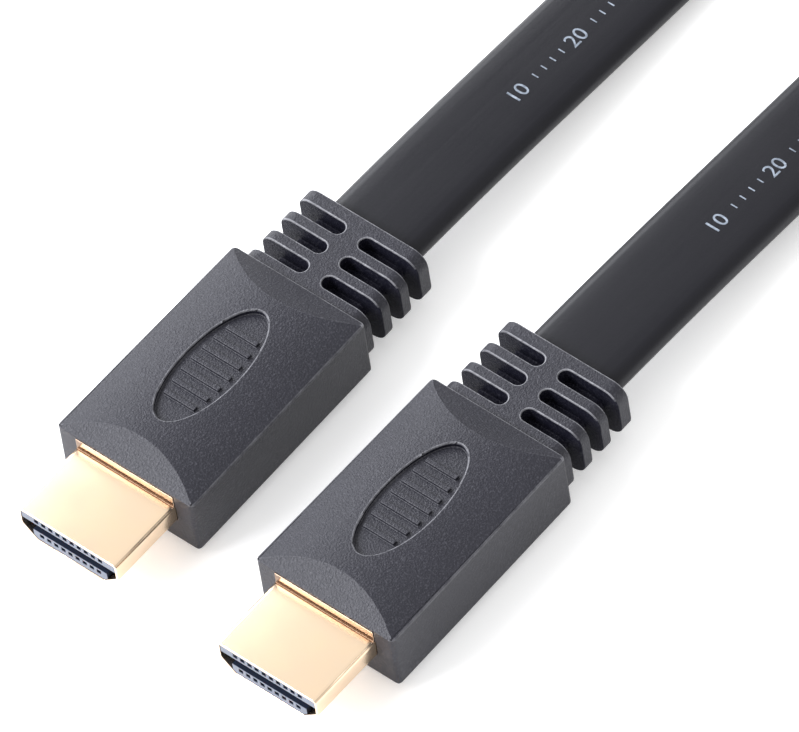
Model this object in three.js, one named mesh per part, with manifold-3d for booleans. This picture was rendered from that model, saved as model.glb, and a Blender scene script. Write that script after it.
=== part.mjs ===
import * as THREE from 'three';
import { mergeVertices } from 'three/addons/utils/BufferGeometryUtils.js';
import Module from 'manifold-3d';

// A flat video lead with a moulded plug on each end.
// Millimetres, +Z up. X runs across the two plugs, +Y from the plug mouths towards the lead.
// Z = 0 is the surface that everything lies on.

// Plugs: pitch across, stagger along, height of the middle plane
const PLUG_HALF_PITCH = 14.5;
const PLUG_HALF_STAGGER = 0.63;
const PLUG_MID_Y = 25.5;
const PLUG_MID_Z = 5.7;

// Metal shell
const SHELL_HALF_W = 6.95;
const SHELL_HALF_H = 2.225;
const SHELL_WALL_Z = -0.35;
const SHELL_FOOT_HALF_W = 4.85;
const SHELL_T = 0.32;
const SHELL_Y1 = 11.1;
const COLLAR_Y0 = 9.84;
const COLLAR_Y1 = 10.4;
const COLLAR_TOP = 3.62;
const GROOVE_Y0 = 9.6;
const GROOVE_DEPTH = 0.16;

// Contact carrier and contacts
const CARRIER_Y0 = 0.08;
const CARRIER_Y1 = 9.9;
const CARRIER_FIT = 0.04;
const SLOT_Z0 = -0.5;
const SLOT_Z1 = 0.72;
const SLOT_Y1 = 8.6;
const FOOT_BAR_HALF_W = 5.2;
const WINDOW = 0.56;
const ROW_UP_Z = 1.3;
const ROW_LOW_Z = -1.02;
const CONTACT_W = 0.4;
const CONTACT_T = 0.2;
const CONTACT_INSET = 1.0;
const PITCH = 1.0;

// Moulded body
const BODY_Y0 = 9.94;
const BODY_Y1 = 39.7;
const BODY_HALF_W0 = 9.57;
const BODY_HALF_W1 = 9.26;
const BODY_HALF_WALL = 3.9;
const BODY_HALF_T = 5.7;
const BODY_CORNER_R = 0.6;
const FRONT_BEVEL_RUN = 3.3;
const REAR_BEVEL_RUN = 4.0;
const POCKET_Y1 = 11.2;
const OVAL_Y = 24.9;
const OVAL_HALF_W = 3.5;
const OVAL_HALF_L = 8.7;
const OVAL_FLOOR_Z = 5.0;
const GRIP_BARS = 7;
const GRIP_PITCH = 1.75;
const GRIP_TOP_Z = 5.35;

// Strain relief
const RELIEF_Y1 = 51.0;
const RELIEF_HALF_W = 8.45;
const RELIEF_TOP = 3.25;
const RELIEF_FOOT = -3.85;
const RELIEF_CORNER_R = 1.9;
const CUT_Y = [42.1, 45.25, 48.4];
const CUT_W = 1.75;
const SPINE_HALF_W = 1.15;
const CORE_HALF_T = 0.9;

// Flat lead
const LEAD_W = 12.2;
const LEAD_T = 3.0;
const GAP = 0.3;
const SAG_END_A = 96;
const SAG_END_B = 95;
const SAG_STRAIGHT = 0.35;

// Where each lead bends, turns up on its edge and climbs onto the hank: [from, to] along Y
const BEND_A = { y: 112, radius: 32, angle: 28.7 };
const BEND_B = { y: 165, radius: 49, right: 31.8, left: 10.7 };
const ROLL_A = [76, 120];
const ROLL_B = [148, 190];
const CLIMB_A = [108, 166];
const CLIMB_B = [150, 217];

// Hank of the length that isn't laid out
const HANK_NEAR_Y = 164.3;
const HANK_RUN = 96.8;
const HANK_OUT_R = 39.5;
const HANK_IN_R = 27.7;
const HANK_FAR_EDGE = HANK_NEAR_Y + HANK_RUN + HANK_OUT_R;
const HANK_SLOPE = 0.022;

// Ties round the two sides of the hank
const TIE_T = 0.8;
const TIE_L = 12;
const TIE_LEFT_Y = 212;
const TIE_RIGHT_Y = 238;

const wasm = await Module();
wasm.setup();

function toSolid(geometry) {
  const g = geometry.clone();
  g.deleteAttribute('normal');
  g.deleteAttribute('uv');
  const merged = mergeVertices(g, 1e-5);
  return new wasm.Manifold(new wasm.Mesh({
    numProp: 3,
    vertProperties: new Float32Array(merged.attributes.position.array),
    triVerts: new Uint32Array(merged.index.array),
  }));
}

function toGeometry(solid) {
  const mesh = solid.getMesh();
  const g = new THREE.BufferGeometry();
  g.setAttribute('position', new THREE.BufferAttribute(new Float32Array(mesh.vertProperties), 3));
  g.setIndex(new THREE.BufferAttribute(new Uint32Array(mesh.triVerts), 1));
  g.computeVertexNormals();
  return g;
}

// A shape drawn in X and Z, extruded along Y
function alongY(shape, y0, y1, curveSegments = 16) {
  const g = new THREE.ExtrudeGeometry(shape, { depth: y1 - y0, bevelEnabled: false, curveSegments });
  g.rotateX(Math.PI / 2);
  g.translate(0, y1, 0);
  return g;
}

// A shape drawn in X and Y, extruded along Z
function alongZ(shape, z0, z1, curveSegments = 24) {
  const g = new THREE.ExtrudeGeometry(shape, { depth: z1 - z0, bevelEnabled: false, curveSegments });
  g.translate(0, 0, z0);
  return g;
}

// A shape drawn in Y and Z, extruded along X
function alongX(shape, x0, x1) {
  const g = new THREE.ExtrudeGeometry(shape, { depth: x1 - x0, bevelEnabled: false });
  g.translate(0, 0, x0);
  const turn = new THREE.Matrix4().makeBasis(
    new THREE.Vector3(0, 1, 0),
    new THREE.Vector3(0, 0, 1),
    new THREE.Vector3(1, 0, 0),
  );
  g.applyMatrix4(turn);
  return g;
}

function box(x0, x1, y0, y1, z0, z1) {
  const g = new THREE.BoxGeometry(x1 - x0, y1 - y0, z1 - z0);
  g.translate((x0 + x1) / 2, (y0 + y1) / 2, (z0 + z1) / 2);
  return g;
}

// A polygon with its corners rounded. Corners are [x, y, radius], counter-clockwise.
function roundedShape(corners, steps = 6) {
  const points = [];
  const count = corners.length;
  for (let i = 0; i < count; i += 1) {
    const [px, py] = corners[(i + count - 1) % count];
    const [cx, cy, r] = corners[i];
    const [nx, ny] = corners[(i + 1) % count];
    const here = new THREE.Vector2(cx, cy);
    const back = new THREE.Vector2(px - cx, py - cy).normalize();
    const ahead = new THREE.Vector2(nx - cx, ny - cy).normalize();
    if (!r) {
      points.push(here);
      continue;
    }
    const half = Math.acos(back.dot(ahead)) / 2;
    const cut = r / Math.tan(half);
    const centre = here.clone().add(back.clone().add(ahead).normalize().multiplyScalar(r / Math.sin(half)));
    const from = here.clone().addScaledVector(back, cut).sub(centre);
    const to = here.clone().addScaledVector(ahead, cut).sub(centre);
    const start = Math.atan2(from.y, from.x);
    let sweep = Math.atan2(to.y, to.x) - start;
    sweep = Math.atan2(Math.sin(sweep), Math.cos(sweep));
    for (let k = 0; k <= steps; k += 1) {
      const a = start + (sweep * k) / steps;
      points.push(new THREE.Vector2(centre.x + r * Math.cos(a), centre.y + r * Math.sin(a)));
    }
  }
  return points;
}

// The shell's section, moved inwards by d
function shellOutline(d) {
  const halfW = SHELL_HALF_W - d;
  const top = SHELL_HALF_H - d;
  const foot = -SHELL_HALF_H + d;
  const dx = SHELL_HALF_W - SHELL_FOOT_HALF_W;
  const dz = SHELL_HALF_H + SHELL_WALL_Z;
  const slant = Math.hypot(dx, dz);
  // where the slanting wall, moved inwards, meets the upright wall and the foot
  const wallZ = SHELL_WALL_Z + (d * (slant - dz)) / dx;
  const footW = SHELL_FOOT_HALF_W - (d * (slant - dx)) / dz;
  const r = Math.max(0.55 - d, 0.18);
  const soft = Math.max(0.8 - d, 0.4);
  return roundedShape([
    [halfW, top, r],
    [-halfW, top, r],
    [-halfW, wallZ, soft],
    [-footW, foot, soft],
    [footW, foot, soft],
    [halfW, wallZ, soft],
  ]);
}

function makeShell() {
  const shape = new THREE.Shape(shellOutline(0));
  shape.holes.push(new THREE.Path(shellOutline(SHELL_T)));
  const tube = toSolid(alongY(shape, 0, SHELL_Y1));
  const collar = toSolid(box(
    -SHELL_HALF_W + 0.1, SHELL_HALF_W - 0.1, COLLAR_Y0, COLLAR_Y1, SHELL_HALF_H - 0.2, COLLAR_TOP,
  ));
  const groove = toSolid(box(-8, 8, GROOVE_Y0, COLLAR_Y0, SHELL_HALF_H - GROOVE_DEPTH, 4));
  return toGeometry(tube.add(collar).subtract(groove));
}

function makeCarrier() {
  const inset = SHELL_T + CARRIER_FIT;
  let carrier = toSolid(alongY(new THREE.Shape(shellOutline(inset)), CARRIER_Y0, CARRIER_Y1));
  carrier = carrier.subtract(toSolid(box(-8, 8, 0, SLOT_Y1, SLOT_Z0, SLOT_Z1)));
  for (const side of [-1, 1]) {
    const near = side * FOOT_BAR_HALF_W;
    const far = side * 8;
    carrier = carrier.subtract(toSolid(box(
      Math.min(near, far), Math.max(near, far), 0, SLOT_Y1, -4, SLOT_Z0 + 0.05,
    )));
  }
  const half = WINDOW / 2;
  for (let i = 0; i < 10; i += 1) {
    const x = (i - 4.5) * PITCH;
    carrier = carrier.subtract(toSolid(box(x - half, x + half, 0, 12, ROW_UP_Z - half, ROW_UP_Z + half)));
  }
  for (let i = 0; i < 9; i += 1) {
    const x = (i - 4) * PITCH;
    carrier = carrier.subtract(toSolid(box(x - half, x + half, 0, 12, ROW_LOW_Z - half, ROW_LOW_Z + half)));
  }
  return toGeometry(carrier);
}

// One row of contacts, joined behind the carrier
function makeContacts(count, z) {
  const first = (-(count - 1) / 2) * PITCH;
  const y0 = CARRIER_Y0 + CONTACT_INSET;
  const y1 = CARRIER_Y1 + 0.05;
  const y2 = y1 + 0.5;
  const half = CONTACT_W / 2;
  const outline = [new THREE.Vector2(-first + half, y2), new THREE.Vector2(first - half, y2)];
  for (let i = 0; i < count; i += 1) {
    const x = first + i * PITCH;
    if (i > 0) {
      outline.push(new THREE.Vector2(x - half, y1));
    }
    outline.push(new THREE.Vector2(x - half, y0));
    outline.push(new THREE.Vector2(x + half, y0));
    if (i < count - 1) {
      outline.push(new THREE.Vector2(x + half, y1));
    }
  }
  return alongZ(new THREE.Shape(outline), z - CONTACT_T / 2, z + CONTACT_T / 2);
}

// The body's section: upright sides with a crowned top and bottom
function crownedSection() {
  const rise = BODY_HALF_T - BODY_HALF_WALL;
  const w = BODY_HALF_W0;
  const radius = (w * w + rise * rise) / (2 * rise);
  const centre = BODY_HALF_T - radius;
  const span = Math.asin(w / radius);
  const points = [];
  const steps = 28;
  for (let i = 0; i <= steps; i += 1) {
    const a = span - (2 * span * i) / steps;
    points.push(new THREE.Vector2(radius * Math.sin(a), centre + radius * Math.cos(a)));
  }
  for (let i = 0; i <= steps; i += 1) {
    const a = -span + (2 * span * i) / steps;
    points.push(new THREE.Vector2(radius * Math.sin(a), -centre - radius * Math.cos(a)));
  }
  return new THREE.Shape(points);
}

// A wedge that cuts everything above a slanting plane through [y0, z0] and [y1, z1]
function wedge(y0, z0, y1, z1) {
  const slope = (z1 - z0) / (y1 - y0);
  const ya = Math.min(y0, y1) - 3;
  const yb = Math.max(y0, y1) + 3;
  const at = (y) => z0 + slope * (y - y0);
  return new THREE.Shape([
    new THREE.Vector2(ya, at(ya)),
    new THREE.Vector2(yb, at(yb)),
    new THREE.Vector2(yb, 12),
    new THREE.Vector2(ya, 12),
  ]);
}

function rectSection(halfW, halfT, r) {
  return new THREE.Shape(roundedShape([
    [halfW, halfT, r],
    [-halfW, halfT, r],
    [-halfW, -halfT, r],
    [halfW, -halfT, r],
  ], 8));
}

function makeBody() {
  const plan = new THREE.Shape(roundedShape([
    [BODY_HALF_W0, BODY_Y0, BODY_CORNER_R],
    [BODY_HALF_W1, BODY_Y1, BODY_CORNER_R],
    [-BODY_HALF_W1, BODY_Y1, BODY_CORNER_R],
    [-BODY_HALF_W0, BODY_Y0, BODY_CORNER_R],
  ]));
  let body = toSolid(alongY(crownedSection(), BODY_Y0 - 1, BODY_Y1 + 1));
  body = body.intersect(toSolid(alongZ(plan, -8, 8)));
  const front = alongX(wedge(BODY_Y0, BODY_HALF_WALL, BODY_Y0 + FRONT_BEVEL_RUN, BODY_HALF_T), -12, 12);
  const rear = alongX(wedge(BODY_Y1, BODY_HALF_WALL, BODY_Y1 - REAR_BEVEL_RUN, BODY_HALF_T), -12, 12);
  for (const cut of [front, rear]) {
    body = body.subtract(toSolid(cut));
    const under = cut.clone();
    under.rotateY(Math.PI);
    body = body.subtract(toSolid(under));
  }

  const reliefShape = rectSection(RELIEF_HALF_W, (RELIEF_TOP - RELIEF_FOOT) / 2, RELIEF_CORNER_R);
  let relief = toSolid(alongY(reliefShape, BODY_Y1 - 1.5, RELIEF_Y1));
  relief = relief.translate([0, 0, (RELIEF_TOP + RELIEF_FOOT) / 2]);
  for (const y of CUT_Y) {
    const r = CUT_W / 2;
    for (const side of [-1, 1]) {
      const inner = side * (SPINE_HALF_W + r);
      const finger = new THREE.Shape();
      if (side > 0) {
        finger.moveTo(12, y - r);
        finger.lineTo(12, y + r);
        finger.lineTo(inner, y + r);
        finger.absarc(inner, y, r, Math.PI / 2, (3 * Math.PI) / 2, false);
      } else {
        finger.moveTo(-12, y + r);
        finger.lineTo(-12, y - r);
        finger.lineTo(inner, y - r);
        finger.absarc(inner, y, r, -Math.PI / 2, Math.PI / 2, false);
      }
      relief = relief.subtract(toSolid(alongZ(finger, -6, 6, 10)));
    }
  }
  const core = toSolid(alongY(rectSection(LEAD_W / 2, CORE_HALF_T, CORE_HALF_T - 0.05), 40.5, RELIEF_Y1 - 0.4));
  body = body.add(relief).add(core);

  const oval = new THREE.Shape();
  oval.absellipse(0, OVAL_Y, OVAL_HALF_W, OVAL_HALF_L, 0, Math.PI * 2, false);
  body = body.subtract(toSolid(alongZ(oval, OVAL_FLOOR_Z, 9, 48)));
  for (let i = 0; i < GRIP_BARS; i += 1) {
    const k = i - (GRIP_BARS - 1) / 2;
    const y = OVAL_Y + k * GRIP_PITCH;
    const reach = (OVAL_HALF_W - 0.8) * Math.sqrt(1 - (k * GRIP_PITCH) ** 2 / OVAL_HALF_L ** 2);
    body = body.add(toSolid(box(-reach, reach, y - 0.3, y + 0.3, OVAL_FLOOR_Z - 0.3, GRIP_TOP_Z)));
  }

  body = body.subtract(toSolid(alongY(new THREE.Shape(shellOutline(-0.05)), BODY_Y0 - 1, POCKET_Y1)));
  body = body.subtract(toSolid(box(
    -SHELL_HALF_W + 0.05, SHELL_HALF_W - 0.05, BODY_Y0 - 1, COLLAR_Y1 + 0.05, 0, COLLAR_TOP + 0.05,
  )));
  return toGeometry(body);
}

// Routes are lists of straights [length] and bends [radius, degrees], left positive
function walk(start, heading, legs) {
  const marks = [];
  let [x, y] = start;
  let turn = heading;
  let s = 0;
  for (const leg of legs) {
    const length = leg.length === 1 ? leg[0] : leg[0] * Math.abs(THREE.MathUtils.degToRad(leg[1]));
    const bend = leg.length === 1 ? 0 : Math.sign(leg[1]) / leg[0];
    marks.push({ s, x, y, turn, length, bend });
    const end = along(marks[marks.length - 1], length);
    x = end.x;
    y = end.y;
    turn = end.turn;
    s += length;
  }
  return { marks, length: s };
}

function along(mark, d) {
  const { x, y, turn, bend } = mark;
  if (!bend) {
    return { x: x + d * Math.cos(turn), y: y + d * Math.sin(turn), turn };
  }
  const next = turn + bend * d;
  return {
    x: x + (Math.sin(next) - Math.sin(turn)) / bend,
    y: y - (Math.cos(next) - Math.cos(turn)) / bend,
    turn: next,
  };
}

function at(route, s) {
  let mark = route.marks[0];
  for (const m of route.marks) {
    if (m.s <= s + 1e-9) {
      mark = m;
    }
  }
  return along(mark, s - mark.s);
}

function smooth(a, b, v) {
  const t = Math.min(Math.max((v - a) / (b - a), 0), 1);
  return t * t * (3 - 2 * t);
}

// Height of the lying lead's middle: it leaves the plug level with the middle plane and sinks
function sag(y, y0, y1) {
  const t = Math.min(Math.max((y - y0) / (y1 - y0), 0), 1);
  const drop = SAG_STRAIGHT * t + (1 - SAG_STRAIGHT) * t * t * (3 - 2 * t);
  return PLUG_MID_Z + (LEAD_T / 2 - PLUG_MID_Z) * drop;
}

// A flat tube: its section is extruded straight, then carried onto the route with a roll
function flatTube(route, steps, heightAt, rollAt) {
  const r = LEAD_T / 2;
  const half = LEAD_W / 2 - r;
  const section = [];
  for (const side of [1, -1]) {
    for (let i = 0; i <= 4; i += 1) {
      const a = side * Math.PI / 2 * (side > 0 ? (i / 2 - 1) : (1 - i / 2) * 1) + (side > 0 ? 0 : Math.PI);
      section.push(new THREE.Vector2(side * half + r * Math.cos(a), r * Math.sin(a)));
    }
  }
  const g = new THREE.ExtrudeGeometry(new THREE.Shape(section), {
    depth: route.length,
    steps,
    bevelEnabled: false,
  });
  const p = g.attributes.position;
  for (let i = 0; i < p.count; i += 1) {
    const across = p.getX(i);
    const thick = p.getY(i);
    const here = at(route, p.getZ(i));
    const roll = rollAt(here);
    const left = across * Math.cos(roll) - thick * Math.sin(roll);
    const up = across * Math.sin(roll) + thick * Math.cos(roll);
    p.setXYZ(
      i,
      here.x - left * Math.sin(here.turn),
      here.y + left * Math.cos(here.turn),
      heightAt(here, roll) + up,
    );
  }
  g.computeVertexNormals();
  return g;
}

function makeLeadA() {
  const y0 = PLUG_MID_Y + PLUG_HALF_STAGGER + GAP;
  const legs = [[BEND_A.y - y0], [BEND_A.radius, BEND_A.angle]];
  const route = walk([-PLUG_HALF_PITCH, y0], Math.PI / 2, legs);
  const climb = HANK_SLOPE * (HANK_FAR_EDGE - HANK_NEAR_Y);
  const roll = (p) => smooth(...ROLL_A, p.y) * Math.PI / 2;
  const height = (p, a) => sag(p.y, y0, SAG_END_A) * Math.cos(a) + (LEAD_W / 2) * Math.sin(a)
    + climb * smooth(...CLIMB_A, p.y);
  return flatTube(route, 22, height, roll);
}

function makeLeadB() {
  const y0 = PLUG_MID_Y - PLUG_HALF_STAGGER + GAP;
  const legs = [[BEND_B.y - y0], [BEND_B.radius, -BEND_B.right], [BEND_B.radius, BEND_B.left]];
  const route = walk([PLUG_HALF_PITCH, y0], Math.PI / 2, legs);
  const climb = HANK_SLOPE * (HANK_FAR_EDGE - CLIMB_B[1]);
  const roll = (p) => -smooth(...ROLL_B, p.y) * Math.PI / 2;
  const height = (p, a) => sag(p.y, y0, SAG_END_B) * Math.cos(a) + (LEAD_W / 2) * Math.abs(Math.sin(a))
    + climb * smooth(...CLIMB_B, p.y);
  return flatTube(route, 30, height, roll);
}

function stadium(r, path) {
  path.absarc(0, HANK_NEAR_Y, r, Math.PI, 2 * Math.PI, false);
  path.absarc(0, HANK_NEAR_Y + HANK_RUN, r, 0, Math.PI, false);
  path.closePath();
  return path;
}

function lift(g) {
  const p = g.attributes.position;
  for (let i = 0; i < p.count; i += 1) {
    p.setZ(i, p.getZ(i) + HANK_SLOPE * (HANK_FAR_EDGE - p.getY(i)));
  }
  g.computeVertexNormals();
  return g;
}

function makeHank() {
  const shape = stadium(HANK_OUT_R, new THREE.Shape());
  shape.holes.push(stadium(HANK_IN_R, new THREE.Path()));
  return lift(alongZ(shape, 0, LEAD_W, 28));
}

function makeTie(side, y) {
  const x0 = HANK_IN_R - GAP;
  const x1 = HANK_OUT_R + GAP;
  const outline = (d) => {
    const a = side > 0 ? x0 - d : -x1 - d;
    const b = side > 0 ? x1 + d : -x0 + d;
    return roundedShape([
      [b, LEAD_W + GAP + d, 0.3 + d],
      [a, LEAD_W + GAP + d, 0.3 + d],
      [a, -GAP - d, 0.3 + d],
      [b, -GAP - d, 0.3 + d],
    ], 3);
  };
  const shape = new THREE.Shape(outline(TIE_T));
  shape.holes.push(new THREE.Path(outline(0)));
  return lift(alongY(shape, y - TIE_L / 2, y + TIE_L / 2));
}

const GOLD = { color: 0xd9b36a, roughness: 0.28, metalness: 1 };
const CARRIER = { color: 0xb9c0d2, roughness: 0.45, metalness: 0 };
const CONTACT = { color: 0xc79a4a, roughness: 0.35, metalness: 1 };
const MOULDED = { color: 0x2b2b2e, roughness: 0.75, metalness: 0 };
const JACKET = { color: 0x26262a, roughness: 0.55, metalness: 0 };
const TIE = { color: 0x1d1d1f, roughness: 0.9, metalness: 0 };

const group = new THREE.Group();

function put(name, geometry, look, offset) {
  const mesh = new THREE.Mesh(geometry, new THREE.MeshStandardMaterial(look));
  mesh.name = name;
  if (offset) {
    mesh.geometry = geometry.clone();
    mesh.geometry.translate(...offset);
  }
  group.add(mesh);
}

const shell = makeShell();
const carrier = makeCarrier();
const upper = makeContacts(10, ROW_UP_Z);
const lower = makeContacts(9, ROW_LOW_Z);
const body = makeBody();

for (const [key, side] of [['a', -1], ['b', 1]]) {
  const offset = [side * PLUG_HALF_PITCH, -PLUG_MID_Y - side * PLUG_HALF_STAGGER, PLUG_MID_Z];
  put(`plug_${key}_shell`, shell, GOLD, offset);
  put(`plug_${key}_carrier`, carrier, CARRIER, offset);
  put(`plug_${key}_contacts_upper`, upper, CONTACT, offset);
  put(`plug_${key}_contacts_lower`, lower, CONTACT, offset);
  put(`plug_${key}_body`, body, MOULDED, offset);
}

put('lead_a', makeLeadA(), JACKET);
put('lead_b', makeLeadB(), JACKET);
put('hank', makeHank(), JACKET);
put('tie_left', makeTie(-1, TIE_LEFT_Y), TIE);
put('tie_right', makeTie(1, TIE_RIGHT_Y), TIE);

export default group;
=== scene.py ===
# %% [markdown]
# # A flat video lead with a plug on each end
# Two plugs lie side by side with their mouths towards the viewer. Each has a gold plated
# shell, a moulded body with an oval recess, and a comb strain relief that the flat lead
# comes out of. The spare lead is folded into a tied hank behind the plugs.
#
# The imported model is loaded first. It is the frame: its sizes and places are fixed, and
# every piece made here sits on it. Blender works in metres and the sizes here are written
# in millimetres, so MM turns one into the other.

# %% Load the frame
import math
import bmesh
import bpy
import numpy as np
from mathutils import Matrix, Vector


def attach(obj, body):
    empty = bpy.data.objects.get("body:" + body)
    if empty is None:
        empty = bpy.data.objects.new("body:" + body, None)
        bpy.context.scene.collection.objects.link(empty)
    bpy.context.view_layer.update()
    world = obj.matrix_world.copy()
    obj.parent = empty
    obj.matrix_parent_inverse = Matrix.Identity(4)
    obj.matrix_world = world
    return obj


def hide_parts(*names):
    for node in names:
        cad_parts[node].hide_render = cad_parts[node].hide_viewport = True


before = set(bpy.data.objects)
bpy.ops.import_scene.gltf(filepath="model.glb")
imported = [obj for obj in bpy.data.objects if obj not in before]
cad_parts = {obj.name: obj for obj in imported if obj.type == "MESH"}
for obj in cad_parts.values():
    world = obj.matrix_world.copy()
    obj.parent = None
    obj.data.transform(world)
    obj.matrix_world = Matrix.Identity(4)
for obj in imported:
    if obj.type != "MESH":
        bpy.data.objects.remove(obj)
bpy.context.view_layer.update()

MM = 0.001
print("nodes:", sorted(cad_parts))

# %% [markdown]
# ## Camera
# The photograph shows almost no perspective, as from a long lens far away. A camera could
# be orthographic, but then its width of view would stay small in every other view. A very
# long lens looks the same and behaves like any camera. Its three axes come from matching
# the plug's known sizes to the photograph: 53 degrees above the table, from the front right.

# %% Place the camera
CAMERA_AT = (0.95479, -0.86691, 1.72369)
CAMERA_RIGHT = Vector((0.767262, 0.633182, -0.101906))
CAMERA_DOWN = Vector((0.463200, -0.657007, -0.594791))
lens_data = bpy.data.cameras.new("camera")
lens_data.lens, lens_data.sensor_width = 901.0, 36.0
lens_data.clip_start, lens_data.clip_end = 0.05, 60.0
camera = bpy.data.objects.new("camera", lens_data)
back = CAMERA_RIGHT.cross(-CAMERA_DOWN)
camera.matrix_world = Matrix.Translation(CAMERA_AT) @ Matrix(
    (CAMERA_RIGHT, -CAMERA_DOWN, back)).transposed().to_4x4()
bpy.context.scene.collection.objects.link(camera)
bpy.context.scene.camera = camera
print("camera at", CAMERA_AT, "lens", lens_data.lens, "mm")

# %% [markdown]
# ## The route of the lead
# A lead has a fixed length, so its middle line is planned before its surface. The line is
# a list of straights and bends, like walking directions. It leaves plug a, turns up on its
# thin edge where it is out of view, runs round the hank two and a half times, and comes
# back flat to plug b. A spline drawn by hand could do it, but a list of legs gives an
# exact length, and parallel runs that never touch.

# %% Walk the legs of the route
PLUG_Z = 5.7
LEAD_WIDTH, LEAD_THICK = 12.2, 3.0
NEAR_Y, RUN = 164.3, 96.8
SLOPE, FAR_EDGE = 0.022, 300.6
RELIEF_A_END, RELIEF_B_END = 26.13, 24.87
PLUG_X = 14.5                     # from the middle to each plug
TUCK = 0.6                        # how far the lead reaches into each strain relief
OUTER_TURN, TURN_STEP = 38, 2.2   # radius of the outer end loop, and how much less the next has
LOOPS = 5
LEGS = [(112 - RELIEF_A_END + TUCK,), (32, 48.37), (OUTER_TURN, -48.37)]
for loop in range(LOOPS):
    LEGS += [(RUN,), (OUTER_TURN - TURN_STEP * loop, -180)]
LEGS += [(44.46,), (49, -31.8), (49, 31.8), (165 - RELIEF_B_END + TUCK,)]


def walk(start, heading, legs, step):
    """Points [x, y, turn, stretch] along the legs, close to step apart."""
    x, y, turn = start[0], start[1], heading
    points = [(x, y, turn, 0)]
    for number, leg in enumerate(legs):
        bend = 0 if len(leg) == 1 else math.copysign(1 / leg[0], leg[1])
        length = leg[0] if len(leg) == 1 else leg[0] * math.radians(abs(leg[1]))
        count = max(1, round(length / step))
        for i in range(1, count + 1):
            d = length * i / count
            if bend:
                after = turn + bend * d
                px = x + (math.sin(after) - math.sin(turn)) / bend
                py = y - (math.cos(after) - math.cos(turn)) / bend
            else:
                after, px, py = turn, x + d * math.cos(turn), y + d * math.sin(turn)
            points.append((px, py, after, number))
        x, y, turn, _ = points[-1]
    return points


walked = walk((-PLUG_X, RELIEF_A_END - TUCK), math.pi / 2, LEGS, 2.4)
print("route points:", len(walked), "ends at", [round(v, 2) for v in walked[-1][:2]])

# %% [markdown]
# The lead leaves each plug level with the plug's middle and sinks to the table. On the
# hank it stands on its edge, because a flat lead only bends easily across its thin side.
# Roll is how far the strip has turned from flat, and height is where its middle line is.

# %% Give the route its height and roll
LEVEL_FOR = 0.3                   # the lead stays level this far past each strain relief
SINKS = {"a": (RELIEF_A_END + LEVEL_FOR, 96), "b": (RELIEF_B_END + LEVEL_FOR, 95)}
ROLLS = {"a": (76, 120), "b": (148, 190)}
CLIMBS = {"a": (108, 166), "b": (150, 217)}
CLIMB_TO = {"a": NEAR_Y, "b": 217}


def smooth(a, b, v):
    t = min(max((v - a) / (b - a), 0), 1)
    return t * t * (3 - 2 * t)


def sag(y, y0, y1):
    """Height of the flat lead between y0, where it is level with the plug, and y1 on the table."""
    t = min(max((y - y0) / (y1 - y0), 0), 1)
    return PLUG_Z + (LEAD_THICK / 2 - PLUG_Z) * (0.35 * t + 0.65 * smooth(0, 1, t))


def lie(point):
    """Height of the middle line and roll at one point of the route."""
    x, y, turn, stretch = point
    half = LEAD_WIDTH / 2
    if 2 < stretch < len(LEGS) - 3:
        return half + SLOPE * (FAR_EDGE - y), math.pi / 2
    end = "a" if stretch <= 2 else "b"
    roll = smooth(*ROLLS[end], y) * math.pi / 2
    lift = SLOPE * (FAR_EDGE - CLIMB_TO[end]) * smooth(*CLIMBS[end], y)
    return sag(y, *SINKS[end]) * math.cos(roll) + half * math.sin(roll) + lift, roll


route = []
for x, y, turn, leg in walked:
    height, roll = lie((x, y, turn, leg))
    route.append((x, y, height, turn, roll))
centre_line = [Vector(p[:3]) * MM for p in route]

# %% [markdown]
# ## The lead
# The jacket is one long extrusion: a strip with half round edges. One section is carried
# along the route and turned by the roll at each point. A bevelled curve could make the
# same surface, but it twists on its own in tight bends, and here the twist has to follow
# the real lead. The surface gets its own map, across and along, for its finish to follow.

# %% Sweep the section along the route
LEAD_CROWN = 0.1


def lead_section():
    """Points (across, thick) of a strip with half round edges and a slight crown."""
    r = LEAD_THICK / 2
    flat = LEAD_WIDTH / 2 - r
    spots = []
    for side in (1, -1):
        for i in range(9):
            a = math.radians(180 * i / 8 - 90 * side)
            spots.append((side * flat + r * math.cos(a), r * math.sin(a)))
        for i in range(1, 6):
            spots.append((side * flat * (1 - i / 3), side * r))
    return [(x, t * (1 - LEAD_CROWN / r * min(1, abs(x) / flat) ** 2)) for x, t in spots]


def sweep_lead(name):
    section = lead_section()
    around = len(section)
    spots, quads = [], []
    for x, y, z, turn, roll in route:
        for across, thick in section:
            left = across * math.cos(roll) - thick * math.sin(roll)
            up = across * math.sin(roll) + thick * math.cos(roll)
            spot = (x - left * math.sin(turn), y + left * math.cos(turn), z + up)
            spots.append([v * MM for v in spot])
    for ring in range(len(route) - 1):
        for k in range(around):
            a, b = ring * around + k, ring * around + (k + 1) % around
            quads.append((a, a + around, b + around, b))
    last = (len(route) - 1) * around
    quads.append(tuple(range(around)))
    quads.append(tuple(last + k for k in reversed(range(around))))
    mesh = bpy.data.meshes.new(name)
    mesh.from_pydata(spots, [], quads)
    uv = mesh.uv_layers.new(name="UVMap")
    gone = [0.0]
    for a, b in zip(centre_line, centre_line[1:]):
        gone.append(gone[-1] + (b - a).length)
    for face in mesh.polygons:
        for corner, spot in zip(face.loop_indices, face.vertices):
            ring, k = divmod(spot, around)
            closing = len(face.vertices) == 4 and any(v % around == around - 1 for v in face.vertices)
            if k == 0 and closing:
                k = around
            uv.data[corner].uv = (k / around, gone[ring])
    return mesh


def show(name, mesh, soft=True):
    piece = bpy.data.objects.new(name, mesh)
    bpy.context.scene.collection.objects.link(piece)
    if soft:
        mesh.shade_smooth()
    return piece


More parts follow.
